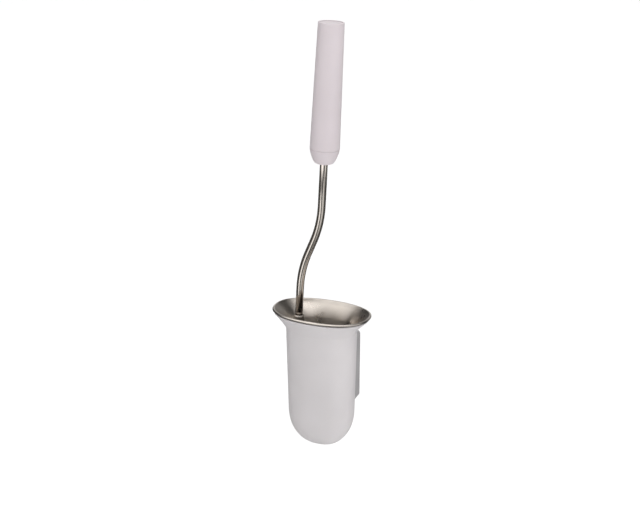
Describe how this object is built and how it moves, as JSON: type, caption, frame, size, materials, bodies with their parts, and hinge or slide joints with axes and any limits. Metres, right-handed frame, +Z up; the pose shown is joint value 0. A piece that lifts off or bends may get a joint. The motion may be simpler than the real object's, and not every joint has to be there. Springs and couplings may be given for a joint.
{
  "type": "wall-hung toilet brush holder",
  "caption": "Wall-hung oval cup with a flared steel liner, holding a brush with a bent steel stem and a tapered white handle.",
  "frame": {"origin": "middle of the wall plate's back face, on the wall", "axes": "+Z is up, +Y goes into the wall, and +X is to the right for someone facing the wall"},
  "size_m": [0.1068, 0.0777, 0.4527],
  "materials": {
    "white_plastic": "satin moulded",
    "grey_plastic": "fine moulded grain",
    "dark_plastic": "moulded",
    "black_nylon": "bristle",
    "brushed_steel": "brushed",
    "cast_zinc": "as cast",
    "plain_steel": "zinc plated"
  },
  "bodies": {
    "wall_plate": {"wall_plate": "cast_zinc", "wall_screw_upper": "plain_steel", "wall_screw_lower": "plain_steel"},
    "cup": {"hanger_block": "grey_plastic", "hanger_screw_upper": "plain_steel", "hanger_screw_lower": "plain_steel", "cup_shell": "white_plastic"},
    "liner": {"cup_liner": "brushed_steel"},
    "brush": {"handle_grip": "white_plastic", "handle_base_cap": "white_plastic", "handle_top_cap": "white_plastic", "handle_bush_lower": "grey_plastic", "handle_bush_upper": "grey_plastic", "stem_pin": "plain_steel", "stem_tube": "brushed_steel", "stem_ferrule": "brushed_steel", "brush_neck": "dark_plastic", "core_stud": "plain_steel", "brush_core": "dark_plastic", "bristle_tip": "black_nylon", "bristle_row_01": "black_nylon", "bristle_row_02": "black_nylon", "bristle_row_03": "black_nylon", "bristle_row_04": "black_nylon", "bristle_row_05": "black_nylon", "bristle_row_06": "black_nylon", "bristle_row_07": "black_nylon", "bristle_row_08": "black_nylon", "bristle_row_09": "black_nylon", "bristle_row_10": "black_nylon"}
  },
  "joints": [
    {"name": "cup_lift_off", "type": "slide", "parent": "wall_plate", "child": "cup", "axis": [0, 0, 1], "range_m": [0, 0.075]},
    {"name": "liner_lift_out", "type": "slide", "parent": "cup", "child": "liner", "axis": [0, 0, 1], "range_m": [0, 0.16]},
    {"name": "brush_lift_out", "type": "slide", "parent": "liner", "child": "brush", "axis": [0, 0, 1], "range_m": [0, 0.16]}
  ]
}
